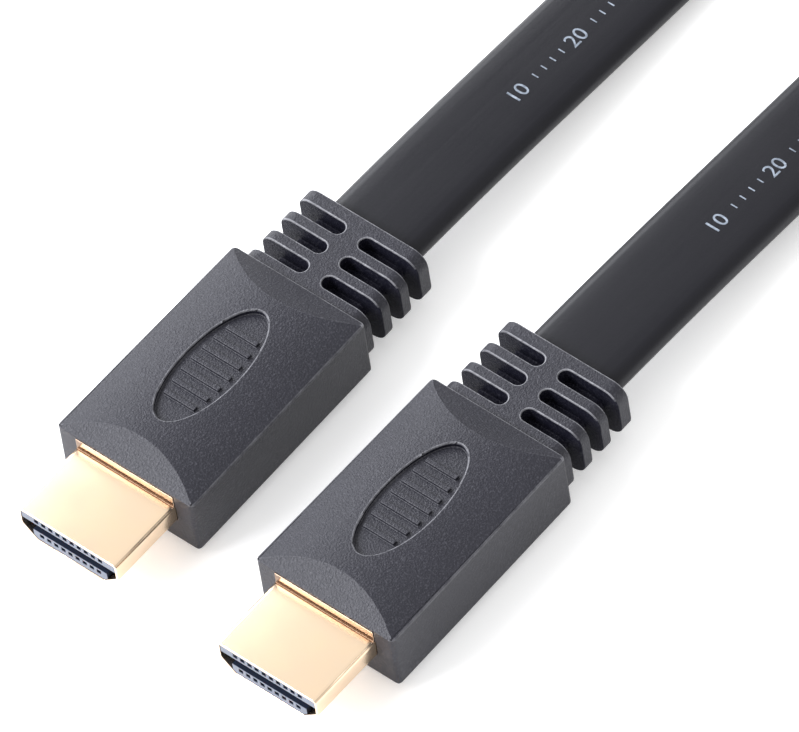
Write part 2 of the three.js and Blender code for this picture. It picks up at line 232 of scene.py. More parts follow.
def face_outwards(mesh):
    bm = bmesh.new()
    bm.from_mesh(mesh)
    bmesh.ops.recalc_face_normals(bm, faces=bm.faces)
    bm.to_mesh(mesh)
    bm.free()
    return mesh


lead = show("flat_lead", face_outwards(sweep_lead("flat_lead")))
print("lead faces:", len(lead.data.polygons))

# %% [markdown]
# ## Ties
# Two strips of woven loop tape hold the hank, one on each side. Each strip goes once
# round the three runs of lead and ends in a tab pressed on its outside. A strip with
# thickness is swept round a rounded rectangle, with the tab as a second short layer.

# %% Wrap a tie round each side of the hank
TIE_LONG, TIE_THICK = 12.0, 0.8
TAB_LONG, TAB_THICK = 11.2, 0.7
RUNS_FROM, RUNS_TO = 27.4, 39.8   # the runs of lead inside a tie, from the hank's middle
TIE_GAP, TAB_RISE = 0.3, 0.36     # round the lead, and from the band to the tab's middle
TAB_FROM, TAB_TO, TAB_BEND = 31.0, 39.0, 1.95
TIE_PLACES = (("tie_left", -1, 212.0), ("tie_right", 1, 238.0))


def rounded_loop(x0, x1, z0, z1, r, steps=5):
    spots = []
    corners = ((x1 - r, z1 - r), (x0 + r, z1 - r), (x0 + r, z0 + r), (x1 - r, z0 + r))
    for number, (cx, cz) in enumerate(corners):
        for i in range(steps + 1):
            a = math.radians(90 * number + 90 * i / steps)
            spots.append((cx + r * math.cos(a), cz + r * math.sin(a)))
    return spots


def strip_mesh(name, line, closed, y0, y1, thick):
    """A tape that follows a line of points (x, z) and is a little thinner at its two edges."""
    profile = []
    for face in (1, -1):
        for k in range(9):
            s = face * (k / 8 - 0.5)
            profile.append((s, face * (0.5 - 0.12 * abs(2 * s) ** 6)))
    count, around = len(line), len(profile)
    spots, quads, along_at, gone = [], [], [], 0.0
    for i, (x, z) in enumerate(line):
        before = line[i - 1] if closed or i else line[0]
        after = line[(i + 1) % count] if closed or i < count - 1 else line[-1]
        tx, tz = after[0] - before[0], after[1] - before[1]
        size = math.hypot(tx, tz) or 1.0
        nx, nz = tz / size, -tx / size
        along_at.append(gone)
        if i < count - 1:
            gone += math.hypot(line[i + 1][0] - x, line[i + 1][1] - z)
        for s, t in profile:
            y = (y0 + y1) / 2 + s * (y1 - y0)
            d = t * thick
            lift = SLOPE * (FAR_EDGE - y)
            spots.append(((x + nx * d) * MM, y * MM, (z + nz * d + lift) * MM))
    rings = count if closed else count - 1
    for i in range(rings):
        for k in range(around):
            a, b = i * around + k, i * around + (k + 1) % around
            c, d = ((i + 1) % count) * around + (k + 1) % around, ((i + 1) % count) * around + k
            quads.append((a, b, c, d))
    if not closed:
        quads.append(tuple(range(around)))
        quads.append(tuple((count - 1) * around + k for k in reversed(range(around))))
    mesh = bpy.data.meshes.new(name)
    mesh.from_pydata(spots, [], quads)
    uv = mesh.uv_layers.new(name="UVMap")
    for face in mesh.polygons:
        for corner, spot in zip(face.loop_indices, face.vertices):
            ring, k = divmod(spot, around)
            uv.data[corner].uv = (along_at[ring] * MM, profile[k][0] * (y1 - y0) * MM)
    return face_outwards(mesh)


ties = {}
for name, side, mid in TIE_PLACES:
    half = TIE_THICK / 2
    around = TIE_GAP + half
    x0, x1 = sorted((side * (RUNS_FROM - half), side * (RUNS_TO + half)))
    ring = rounded_loop(x0, x1, -around, LEAD_WIDTH + around, around)
    band = show(name + "_band", strip_mesh(
        name + "_band", ring, True, mid - TIE_LONG / 2, mid + TIE_LONG / 2, TIE_THICK))
    top = LEAD_WIDTH + TIE_GAP + TIE_THICK + TAB_RISE
    tab_line = [(side * (TAB_FROM + (TAB_TO - TAB_FROM) * i / 9), top) for i in range(10)]
    for i in range(1, 6):
        a = math.radians(90 - 18 * i)
        tab_line.append((side * (TAB_TO + TAB_BEND * math.cos(a)), top - TAB_BEND * (1 - math.sin(a))))
    tab_line += [(side * (TAB_TO + TAB_BEND), top - TAB_BEND - 1.2 * i) for i in range(1, 5)]
    if side < 0:
        tab_line = tab_line[::-1]
    tab = show(name + "_tab", strip_mesh(
        name + "_tab", tab_line, False, mid - TAB_LONG / 2, mid + TAB_LONG / 2, TAB_THICK))
    ties[name] = (band, tab)
    print(name, "band faces", len(band.data.polygons), "tab faces", len(tab.data.polygons))

# %% [markdown]
# The lead and its ties are attached now, before anything else is made, and the frame's own
# lead, hank and ties are hidden.

for name, (band, tab) in ties.items():
    for piece in (band, tab):
        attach(piece, "root")
        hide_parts(name)
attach(lead, "root")
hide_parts("lead_a", "lead_b", "hank")
print("declared", lead.name, "with", sum(len(pair) for pair in ties.values()), "tie pieces")

# %% [markdown]
# ## Moulded bodies
# Each body is one moulding: a block with a crowned top and bottom, a slanting facet at
# each end, an oval recess with grip bars, and the comb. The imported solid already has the
# shape, but its edges are knife sharp, and no moulded edge is. A copy is welded, its flat
# faces are joined up again, and only the edges that really turn a corner are rounded.
# Modelling it afresh would risk leaving the sizes of the frame.

# %% A helper that welds a copy and rounds its edges
SHARP_TURN, SHALLOW_WIDTH = 40, 0.05


def solid_copy(piece):
    """A plain mesh of the piece with its modifiers applied."""
    seen = piece.evaluated_get(bpy.context.evaluated_depsgraph_get())
    return bpy.data.meshes.new_from_object(seen)


def rounded_copy(node, name, width_at, least=20.0, segments=3):
    """A copy of a node with each edge sharper than least degrees rounded by width_at(mid) mm.

    An edge that turns less than SHARP_TURN only gets a narrow strip, which keeps it crisp.
    The modifier's width is one millimetre, so the weight of an edge is its own width. Its
    limit on overlaps is off, because it shrinks every edge to what the shortest allows.
    """
    bm = bmesh.new()
    bm.from_mesh(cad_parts[node].data)
    bmesh.ops.remove_doubles(bm, verts=bm.verts, dist=2e-6)
    bmesh.ops.dissolve_limit(bm, angle_limit=math.radians(0.4), verts=bm.verts, edges=bm.edges)
    weight = bm.edges.layers.float.new("bevel_weight_edge")
    turned = 0
    for edge in bm.edges:
        turn = math.degrees(edge.calc_face_angle(0)) if len(edge.link_faces) == 2 else 0.0
        if turn > least:
            mid = (edge.verts[0].co + edge.verts[1].co) / 2 / MM
            edge[weight] = width_at(mid) if turn > SHARP_TURN else min(width_at(mid), SHALLOW_WIDTH)
            turned += 1
    mesh = bpy.data.meshes.new(name)
    bm.to_mesh(mesh)
    bm.free()
    if "custom_normal" in mesh.attributes:
        mesh.attributes.remove(mesh.attributes["custom_normal"])
    for _ in range(2):
        mesh.materials.append(None)
    piece = show(name, mesh)
    rounding = piece.modifiers.new("rounding", "BEVEL")
    rounding.limit_method = "WEIGHT"
    rounding.width = MM
    rounding.segments = segments
    rounding.harden_normals = True
    rounding.use_clamp_overlap = False
    rounding.material = 1
    solid = solid_copy(piece)
    piece.modifiers.remove(rounding)
    piece.data = solid
    solid.name = name
    print(name, "edges rounded:", turned, "faces:", len(solid.polygons))
    return piece


# %% Round the edges of both bodies
PLUG_AT = {"a": Vector((-PLUG_X, -24.87, PLUG_Z)), "b": Vector((PLUG_X, -26.13, PLUG_Z))}
COMB_EDGE, BAR_EDGE, POCKET_EDGE, FACET_EDGE, BLOCK_EDGE = 0.16, 0.1, 0.06, 0.09, 0.2


def body_rounding(key):
    """Gives the width for an edge from its middle: comb, grip bars, pocket, facet or block."""
    def width(mid):
        p = mid - PLUG_AT[key]
        if p.y > 40.9:
            return COMB_EDGE
        if abs(p.x) < 3.4 and 4.8 < p.z < 5.42:
            return BAR_EDGE
        if p.y < 11.3 and abs(p.x) < 7.2 and abs(p.z) < 3.8:
            return POCKET_EDGE
        if p.y < 10.3 and p.z > 3.5:
            return FACET_EDGE
        return BLOCK_EDGE
    return width


bodies = {}
for key in ("a", "b"):
    node = f"plug_{key}_body"
    bodies[key] = rounded_copy(node, f"moulded_body_{key}", body_rounding(key))
    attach(bodies[key], "root")
    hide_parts(node)

# %% [markdown]
# ## Shells and carriers
# The shell is folded sheet metal with gold plating. Its edges are rounded only a little,
# because the sheet is thin. The carrier inside it is a blue-grey moulding with a slot and
# two rows of windows. Both come from the frame in the same way as the bodies.

# %% Round the shells and carriers
shells, carriers = {}, {}
for key in ("a", "b"):
    shells[key] = rounded_copy(f"plug_{key}_shell", f"plated_shell_{key}", lambda mid: 0.07, 25.0, 2)
    carriers[key] = rounded_copy(
        f"plug_{key}_carrier", f"contact_carrier_{key}", lambda mid: 0.04, 30.0, 1)
    made = ((shells[key], "shell", "plated_shell"), (carriers[key], "carrier", "carrier"))
    for piece, node, place in made:
        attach(piece, "root")
        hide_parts(f"plug_{key}_{node}")

# %% [markdown]
# ## Contacts
# Ten contacts show above the slot and nine below it. They are alike and evenly spaced, so
# Geometry Nodes make the row: a line of points, one sprung blade on each, and a bar that
# joins them behind the carrier. Count and pitch are inputs, so one tree makes both rows.

# %% Build the tree for a row of contacts


def add(tree, kind, values=(), **settings):
    made = tree.nodes.new(kind)
    for key, value in settings.items():
        setattr(made, key, value)
    for key, value in dict(values).items():
        made.inputs[key].default_value = value
    return made


def begin_row(name, sizes):
    """A tree with inputs Count, Pitch and sizes, and its line of Count points, Pitch apart."""
    tree = bpy.data.node_groups.new(name, "GeometryNodeTree")
    tree.interface.new_socket(name="Count", in_out="INPUT", socket_type="NodeSocketInt")
    for label in ("Pitch", *sizes):
        tree.interface.new_socket(name=label, in_out="INPUT", socket_type="NodeSocketFloat")
    tree.interface.new_socket(name="Geometry", in_out="OUTPUT", socket_type="NodeSocketGeometry")
    given = add(tree, "NodeGroupInput")
    step = add(tree, "ShaderNodeCombineXYZ")
    tree.links.new(given.outputs["Pitch"], step.inputs["X"])
    line = add(tree, "GeometryNodeMeshLine", mode="OFFSET")
    tree.links.new(given.outputs["Count"], line.inputs["Count"])
    tree.links.new(step.outputs[0], line.inputs["Offset"])
    return tree, given, line


def end_row(tree, made):
    """Makes the row real, gives it a material and sends it out. Returns the material's node."""
    real = add(tree, "GeometryNodeRealizeInstances")
    tree.links.new(made.outputs[0], real.inputs[0])
    coat = add(tree, "GeometryNodeSetMaterial")
    tree.links.new(real.outputs[0], coat.inputs["Geometry"])
    tree.links.new(coat.outputs[0], add(tree, "NodeGroupOutput").inputs[0])
    return coat


def contact_tree():
    tree, given, line = begin_row("contact_row", ("Width", "Thickness"))
    link = tree.links.new
    path = add(tree, "GeometryNodeCurveQuadraticBezier", {
        "Resolution": 10, "Start": (0, 1.08 * MM, -0.03 * MM),
        "Middle": (0, 3.4 * MM, 0.1 * MM), "End": (0, 10.1 * MM, 0)})
    section = add(tree, "GeometryNodeCurvePrimitiveQuadrilateral")
    link(given.outputs["Width"], section.inputs["Width"])
    link(given.outputs["Thickness"], section.inputs["Height"])
    blade = add(tree, "GeometryNodeCurveToMesh", {"Fill Caps": True})
    link(path.outputs[0], blade.inputs["Curve"])
    link(section.outputs[0], blade.inputs["Profile Curve"])
    row = add(tree, "GeometryNodeInstanceOnPoints")
    link(line.outputs[0], row.inputs["Points"])
    link(blade.outputs[0], row.inputs["Instance"])
    span = add(tree, "ShaderNodeMath", operation="MULTIPLY")
    link(given.outputs["Count"], span.inputs[0])
    link(given.outputs["Pitch"], span.inputs[1])
    size = add(tree, "ShaderNodeCombineXYZ", {"Y": 0.45 * MM, "Z": 0.2 * MM})
    less = add(tree, "ShaderNodeMath", {1: 0.6 * MM}, operation="SUBTRACT")
    link(span.outputs[0], less.inputs[0])
    link(less.outputs[0], size.inputs["X"])
    bar = add(tree, "GeometryNodeMeshCube")
    link(size.outputs[0], bar.inputs["Size"])
    middle = add(tree, "ShaderNodeMath", operation="SUBTRACT")
    halfway = add(tree, "ShaderNodeMath", {1: 0.5}, operation="MULTIPLY")
    link(span.outputs[0], middle.inputs[0])
    link(given.outputs["Pitch"], middle.inputs[1])
    link(middle.outputs[0], halfway.inputs[0])
    place = add(tree, "ShaderNodeCombineXYZ", {"Y": 10.22 * MM})
    link(halfway.outputs[0], place.inputs["X"])
    moved = add(tree, "GeometryNodeTransform")
    link(bar.outputs[0], moved.inputs["Geometry"])
    link(place.outputs[0], moved.inputs["Translation"])
    both = add(tree, "GeometryNodeJoinGeometry")
    link(row.outputs[0], both.inputs[0])
    link(moved.outputs[0], both.inputs[0])
    return tree, end_row(tree, both)


def run_tree(name, tree, values, place):
    """One plain mesh from a tree with its named inputs set, moved to place."""
    piece = bpy.data.objects.new(name, bpy.data.meshes.new(name))
    bpy.context.scene.collection.objects.link(piece)
    maker = piece.modifiers.new("maker", "NODES")
    maker.node_group = tree
    for item in tree.interface.items_tree:
        if item.item_type == "SOCKET" and item.in_out == "INPUT" and item.name in values:
            maker[item.identifier] = values[item.name]
    mesh = solid_copy(piece)
    piece.modifiers.remove(maker)
    mesh.transform(Matrix.Translation(place))
    piece.data = mesh
    mesh.name = name
    return piece


# %% [markdown]
# ## Materials
# Every finish has something that changes over the surface. Three effects are used by more
# than one finish, so each is a node group that is built once: a fine grain, an edge mask
# that reads which faces are rounded edges, and soft blotches as handling leaves. The groups
# put out masks and heights, and each finish decides what they change.

# %% Shared effects
FLOAT, VECTOR = "NodeSocketFloat", "NodeSocketVector"


def group(name, inputs, outputs):
    tree = bpy.data.node_groups.new(name, "ShaderNodeTree")
    for label, kind, value in inputs:
        socket = tree.interface.new_socket(name=label, in_out="INPUT", socket_type=kind)
        if value is not None:
            socket.default_value = value
    for label, kind in outputs:
        tree.interface.new_socket(name=label, in_out="OUTPUT", socket_type=kind)
    return tree, add(tree, "NodeGroupInput"), add(tree, "NodeGroupOutput")


def grain_group():
    tree, given, result = group(
        "moulding_grain", [("Vector", VECTOR, None), ("Scale", FLOAT, 3500.0)],
        [("Height", FLOAT), ("Fleck", FLOAT)])
    link = tree.links.new
    fine = add(tree, "ShaderNodeTexNoise", {"Detail": 3.0, "Roughness": 0.6})
    pits = add(tree, "ShaderNodeTexVoronoi", {"Randomness": 1.0})
    for texture in (fine, pits):
        link(given.outputs["Vector"], texture.inputs["Vector"])
        link(given.outputs["Scale"], texture.inputs["Scale"])
    both = add(tree, "ShaderNodeMath", {1: 0.6}, operation="MULTIPLY_ADD")
    link(pits.outputs["Distance"], both.inputs[0])
    link(fine.outputs[0], both.inputs[2])
    link(both.outputs[0], result.inputs["Height"])
    spot = add(tree, "ShaderNodeMapRange", {"From Min": 0.52, "From Max": 0.72})
    link(fine.outputs[0], spot.inputs["Value"])
    link(spot.outputs["Result"], result.inputs["Fleck"])
    return tree


def edge_group():
    tree, given, result = group(
        "edge_mask", [("Vector", VECTOR, None), ("Break up", FLOAT, 900.0)], [("Mask", FLOAT)])
    link = tree.links.new
    turn = add(tree, "ShaderNodeAttribute", attribute_name="edge")
    patch = add(tree, "ShaderNodeTexNoise", {"Detail": 2.0})
    link(given.outputs["Vector"], patch.inputs["Vector"])
    link(given.outputs["Break up"], patch.inputs["Scale"])
    cut = add(tree, "ShaderNodeMapRange", {"From Min": 0.1, "From Max": 0.6})
    link(patch.outputs[0], cut.inputs["Value"])
    both = add(tree, "ShaderNodeMath", operation="MULTIPLY")
    link(turn.outputs["Fac"], both.inputs[0])
    link(cut.outputs["Result"], both.inputs[1])
    link(both.outputs[0], result.inputs["Mask"])
    return tree


def blotch_group():
    tree, given, result = group(
        "handling_blotches", [("Vector", VECTOR, None), ("Scale", FLOAT, 140.0)],
        [("Blotch", FLOAT)])
    link = tree.links.new
    patch = add(tree, "ShaderNodeTexNoise", {"Detail": 4.0, "Roughness": 0.55, "Distortion": 0.4})
    link(given.outputs["Vector"], patch.inputs["Vector"])
    link(given.outputs["Scale"], patch.inputs["Scale"])
    even = add(tree, "ShaderNodeMapRange", {"From Min": 0.3, "From Max": 0.7})
    link(patch.outputs[0], even.inputs["Value"])
    link(even.outputs["Result"], result.inputs["Blotch"])
    return tree


GRAIN, EDGE, BLOTCH = grain_group(), edge_group(), blotch_group()
print("effects:", GRAIN.name, EDGE.name, BLOTCH.name)

# %% [markdown]
# The edge mask needs to know which faces are edges. The Bevel modifier gave its new faces
# the second material slot, so that slot is read once and stored as an attribute, which a
# finish can read in any renderer. Then the slots are emptied for the real materials. How
# much painted shade the shell gets, and which faces of the carrier lie deep and get painted
# shade, are stored in the same way. Places are in a plug's own millimetres: y runs from its
# mouth to the lead, and z is up from its middle.

# %% Mark the rounded faces
CUT_Y = (42.1, 45.25, 48.4)
OVAL_Y, OVAL_HALF_WIDTH, OVAL_HALF_LENGTH = 24.9, 3.5, 8.7
SEAM_FROM, SEAM_TO = 9.58, 9.85
# Painted shade on the gold: full in the groove before the collar, less on the collar, least on the
# side walls.
GROOVE_PAINTED_SHADE, COLLAR_PAINTED_SHADE, WALL_PAINTED_SHADE = 1.0, 0.78, 0.3


def from_the_oval(p):
    """How far p lies inside or outside the rim of the oval, as a share of its half size."""
    ring = math.hypot(p.x / OVAL_HALF_WIDTH, (p.y - OVAL_Y) / OVAL_HALF_LENGTH)
    return abs(ring - 1)


def at_a_cut(p, reach):
    return any(abs(p.y - y) < reach for y in CUT_Y)


def edge_lightening_at(p):
    """How much an edge of a body is lightened, as wear and as painted highlight: most on the ribs and
    round the oval.
    """
    if at_a_cut(p, 1.2) and p.z < 2.4:
        return 0.0
    if p.y > 39.0 and p.z > 2.6:
        return 0.7
    if from_the_oval(p) < 0.12 and p.z > 5.2:
        return 0.45
    if p.z > 3 and abs(p.x) < 8.9:
        return 0.05
    return 0.3


def in_plug(face, key):
    """The middle of a face in the plug's own millimetres."""
    return face.center / MM - PLUG_AT[key]


def mark_edges(piece, edge_share=None):
    """Stores 1 on each rounded face, or wear(face) of it, and 0 on the rest."""
    mesh = piece.data
    index = np.empty(len(mesh.polygons), np.int32)
    mesh.polygons.foreach_get("material_index", index)
    mask = mesh.attributes.new("edge", "FLOAT", "FACE")
    value = (index == 1).astype(np.float32)
    if edge_share:
        value *= [edge_share(face) for face in mesh.polygons]
    mask.data.foreach_set("value", value)
    mesh.polygons.foreach_set("material_index", np.zeros_like(index))
    mesh.materials.clear()
    print(piece.name, "rounded faces:", int((index == 1).sum()), "of", len(index))


def mark_where(piece, key, label, value_at):
    """Stores value_at the middle of each face on that face."""
    mesh = piece.data
    mask = mesh.attributes.new(label, "FLOAT", "FACE")
    mask.data.foreach_set("value", [float(value_at(in_plug(face, key))) for face in mesh.polygons])


def painted_shade_at(p):
    """How much painted shade the gold gets: most in the groove in front of the collar, less on the
    collar, least on the side walls.
    """
    if SEAM_FROM < p.y < SEAM_TO and p.z > 1.9:
        return GROOVE_PAINTED_SHADE
    if p.y > 9.8:
        return COLLAR_PAINTED_SHADE
    return WALL_PAINTED_SHADE if abs(p.x) > 6.7 else 0.0


for key in ("a", "b"):
    mark_edges(bodies[key], lambda face: edge_lightening_at(in_plug(face, key)))
    mark_edges(shells[key])
    mark_edges(carriers[key])
    mark_where(shells[key], key, "painted_shade", painted_shade_at)
    mark_where(carriers[key], key, "deep", lambda p: p.y > 0.2)

# %% Helpers for a finish


def finish(name, base, roughness, metallic=0.0):
    material = bpy.data.materials.new(name)
    material.use_nodes = True
    tree = material.node_tree
    shader = tree.nodes["Principled BSDF"]
    shader.inputs["Base Color"].default_value = (*base, 1)
    shader.inputs["Roughness"].default_value = roughness
    shader.inputs["Metallic"].default_value = metallic
    where = add(tree, "ShaderNodeTexCoord")
    return material, tree, shader, where


def effect(tree, made, where, values=(), output="Object"):
    used = add(tree, "ShaderNodeGroup", node_tree=made)
    for key, value in dict(values).items():
        used.inputs[key].default_value = value
    tree.links.new(where.outputs[output], used.inputs["Vector"])
    return used


def ramp(tree, source, low, high, low_at=0.0, high_at=1.0):
    """Turns a mask into a value between low and high."""
    spread = add(tree, "ShaderNodeMapRange", {
        "From Min": low_at, "From Max": high_at, "To Min": low, "To Max": high})
    tree.links.new(source, spread.inputs["Value"])
    return spread.outputs["Result"]


def tint(tree, mask, first, second):
    """Mixes two colours by a mask."""
    mixed = add(tree, "ShaderNodeMix", data_type="RGBA")
    mixed.inputs["A"].default_value = (*first, 1)
    mixed.inputs["B"].default_value = (*second, 1)
    tree.links.new(mask, mixed.inputs["Factor"])
    return mixed.outputs["Result"]


def cover(tree, under, mask, colour):
    """Lays one plain colour over a linked colour, by a mask."""
    mixed = add(tree, "ShaderNodeMix", data_type="RGBA")
    mixed.inputs["B"].default_value = (*colour, 1)
    tree.links.new(under, mixed.inputs["A"])
    tree.links.new(mask, mixed.inputs["Factor"])
    return mixed.outputs["Result"]


def share(tree, mask, most):
    """Lowers a mask so that it reaches most at its highest."""
    less = add(tree, "ShaderNodeMath", {1: most}, operation="MULTIPLY")
    tree.links.new(mask, less.inputs[0])
    return less.outputs[0]


def bump(tree, height, shader, distance, strength=1.0, after=None):
    made = add(tree, "ShaderNodeBump", {"Strength": strength, "Distance": distance})
    tree.links.new(height, made.inputs["Height"])
    if after:
        tree.links.new(after.outputs["Normal"], made.inputs["Normal"])
    tree.links.new(made.outputs["Normal"], shader.inputs["Normal"])
    return made


# %% [markdown]
# ### Moulded plastic
# The mould was spark eroded, which leaves a very fine, even grain. Under soft light it
# reads as a dark grey with tiny light flecks. Bump gives the grain its sparkle, and the
# edges are lighter and a little smoother: partly wear, where the grain is rubbed down, and
# partly a painted highlight along the rounded edges. Walls inside the cuts and round the
# oval get painted shade: a second, shaded copy of the material with a lower specular
# level, set as a constant on the shader.

# %% Finish of the moulded bodies


def moulded_finish(name, specular):
    material, tree, shader, where = finish(name, (0.011, 0.011, 0.017), 0.48)
    shader.inputs["Specular IOR Level"].default_value = specular
    grain = effect(tree, GRAIN, where, {"Scale": 4300.0})
    tint_mask = effect(tree, EDGE, where, {"Break up": 900.0})
    blotch = effect(tree, BLOTCH, where, {"Scale": 90.0})
    dark = tint(tree, blotch.outputs[0], (0.007, 0.007, 0.013), (0.009, 0.009, 0.016))
    flecked = cover(tree, dark, share(tree, grain.outputs["Fleck"], 0.3), (0.10, 0.10, 0.12))
    # Edge wear and painted highlight: the rounded edges are mixed towards a light grey.
    edge_tinted = cover(tree, flecked, share(tree, tint_mask.outputs[0], 0.55), (0.42, 0.42, 0.45))
    tree.links.new(edge_tinted, shader.inputs["Base Color"])
    tree.links.new(ramp(tree, tint_mask.outputs[0], 0.5, 0.36), shader.inputs["Roughness"])
    bump(tree, grain.outputs["Height"], shader, 0.06 * MM, 1.0)
    return material


def in_a_cut(p, normal):
    """True for the walls and floors of the cuts, and for the wall round the oval."""
    if at_a_cut(p, 0.95):
        return p.z < 3.0
    return from_the_oval(p) < 0.06 and p.z > 5.0 and abs(normal.z) < 0.5


moulded = moulded_finish("moulded_plastic", 0.42)
# Painted shade: a copy of the plastic that mirrors less, for the walls in the cuts and round the oval.
shaded = moulded_finish("moulded_plastic_painted_shade", 0.08)
for key, piece in bodies.items():
    mesh = piece.data
    mesh.materials.append(moulded)
    mesh.materials.append(shaded)
    for face, mask in zip(mesh.polygons, mesh.attributes["edge"].data):
        gets_painted_shade = in_a_cut(in_plug(face, key), face.normal)
        face.material_index = int(mask.value < 0.04 and gets_painted_shade)
print("finishes:", moulded.name, shaded.name)

# %% [markdown]
# ### Gold plating
# Gold over nickel on folded sheet: bright and warm, with very fine rolling lines along the
# sheet and faint cloudy marks from handling. Lines are stretched noise, which needs no map.
# The groove in front of the collar, the collar itself and the side walls get painted shade:
# their gold is mixed towards a dull brown.

# %% Finish of the shells and contacts


def gold_finish(name, base, deep, roughness, lines, direction):
    """Gold that is mixed towards a dull brown of painted shade where the shell's shade attribute is
    high.
    """
    material, tree, shader, where = finish(name, base, roughness, 1.0)
    stretch = add(tree, "ShaderNodeMapping", {"Scale": direction})
    tree.links.new(where.outputs["Object"], stretch.inputs["Vector"])
    rolled = add(tree, "ShaderNodeTexNoise", {"Scale": lines, "Detail": 3.0})
    tree.links.new(stretch.outputs[0], rolled.inputs["Vector"])
    blotch = effect(tree, BLOTCH, where, {"Scale": 260.0})
    tint_mask = effect(tree, EDGE, where, {"Break up": 1500.0})
    warm = tint(tree, blotch.outputs[0], base, deep)
    edge_tinted = cover(tree, warm, share(tree, tint_mask.outputs[0], 0.4), (0.80, 0.77, 0.74))
    # Painted shade: the groove, the collar and the side walls of the shell turn dull brown.
    painted_shade = add(tree, "ShaderNodeAttribute", attribute_name="painted_shade")
    with_painted_shade = cover(tree, edge_tinted, painted_shade.outputs["Fac"], (0.20, 0.13, 0.085))
    tree.links.new(with_painted_shade, shader.inputs["Base Color"])
    patchy = ramp(tree, blotch.outputs[0], roughness - 0.02, roughness + 0.03)
    tree.links.new(patchy, shader.inputs["Roughness"])
    bump(tree, rolled.outputs[0], shader, 0.004 * MM, 0.5)
    return material


plating = gold_finish(
    "gold_plating", (0.97, 0.765, 0.56), (0.96, 0.74, 0.52), 0.24, 900.0, (1.0, 9.0, 1.0))
contact_gold = gold_finish(
    "contact_gold", (0.86, 0.62, 0.30), (0.74, 0.50, 0.22), 0.3, 2500.0, (6.0, 1.0, 6.0))
for piece in shells.values():
    piece.data.materials.append(plating)
print("finishes:", plating.name, contact_gold.name)

# %% Make the rows of contacts
CONTACTS, COAT = contact_tree()
COAT.inputs["Material"].default_value = contact_gold
CONTACT_ROWS = (("upper", 10, 1.3), ("lower", 9, -1.02))
for key in ("a", "b"):
    for row_name, count, z in CONTACT_ROWS:
        place = (PLUG_AT[key] + Vector((-(count - 1) / 2, 0, z))) * MM
        row = run_tree(f"contacts_{key}_{row_name}", CONTACTS, {
            "Count": count, "Pitch": 1.0 * MM, "Width": 0.4 * MM, "Thickness": 0.2 * MM}, place)
        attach(row, "root")
        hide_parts(f"plug_{key}_contacts_{row_name}")
        print(row.name, "faces:", len(row.data.polygons))

# %% [markdown]
# ### Carrier
# The carrier is a blue-grey plastic. It is slightly translucent, so a little light gets
# under its surface. Inside the slot and the windows hardly any light comes back out, so
# the faces behind the front are stored as deep and kept dark.

# %% Finish of the carriers


def carrier_finish():
    material, tree, shader, where = finish("carrier_plastic", (0.12, 0.13, 0.17), 0.42)
    shader.inputs["Specular IOR Level"].default_value = 0.3
    shader.inputs["Subsurface Weight"].default_value = 0.15
    shader.inputs["Subsurface Scale"].default_value = 0.3 * MM
    grain = effect(tree, GRAIN, where, {"Scale": 5200.0})
    blotch = effect(tree, BLOTCH, where, {"Scale": 400.0})
    face = tint(tree, blotch.outputs[0], (0.10, 0.115, 0.15), (0.14, 0.155, 0.20))
    # Painted shade: faces behind the front of the carrier get a near black colour.
    deep = add(tree, "ShaderNodeAttribute", attribute_name="deep")
    shaded = cover(tree, face, deep.outputs["Fac"], (0.012, 0.016, 0.03))
    tree.links.new(shaded, shader.inputs["Base Color"])
    tree.links.new(ramp(tree, grain.outputs["Fleck"], 0.38, 0.5), shader.inputs["Roughness"])
    bump(tree, grain.outputs["Height"], shader, 0.01 * MM, 0.5)
    return material


carrier_look = carrier_finish()
for piece in carriers.values():
    piece.data.materials.append(carrier_look)
print("finish:", carrier_look.name)

# %% [markdown]
# ### Jacket
# The jacket is soft black plastic pushed through a die, so it has faint lines along its
# length and an even satin sheen. The lines follow the lead through every bend, so they
# read the lead's own map: across is U and metres along is V.

# %% Finish of the jacket


def jacket_finish():
    material, tree, shader, where = finish("jacket_plastic", (0.007, 0.007, 0.009), 0.4)
    shader.inputs["Specular IOR Level"].default_value = 0.25
    stretch = add(tree, "ShaderNodeMapping", {"Scale": (60.0, 18.0, 1.0)})
    tree.links.new(where.outputs["UV"], stretch.inputs["Vector"])
    lines = add(tree, "ShaderNodeTexNoise", {"Scale": 1.0, "Detail": 3.0, "Roughness": 0.6})
    tree.links.new(stretch.outputs[0], lines.inputs["Vector"])
    grain = effect(tree, GRAIN, where, {"Scale": 2600.0})
    blotch = effect(tree, BLOTCH, where, {"Scale": 45.0})
    black = tint(tree, blotch.outputs[0], (0.004, 0.004, 0.007), (0.007, 0.007, 0.010))
    tree.links.new(black, shader.inputs["Base Color"])
    tree.links.new(ramp(tree, lines.outputs[0], 0.32, 0.42, 0.3, 0.7), shader.inputs["Roughness"])
    along = bump(tree, lines.outputs[0], shader, 0.02 * MM, 0.5)
    bump(tree, grain.outputs["Height"], shader, 0.012 * MM, 0.5, along)
    return material


jacket = jacket_finish()
lead.data.materials.append(jacket)
print("finish:", jacket.name)

# %% [markdown]
# ### Print on the jacket
# Leads of this kind carry a pale print along the jacket. Here it is a plain scale: a
# number every ten millimetres and ticks between. The ticks repeat, so Geometry Nodes make
# them. Both are drawn flat first, and then laid on the sinking surface of the lead.

# %% Build the tree for a row of ticks


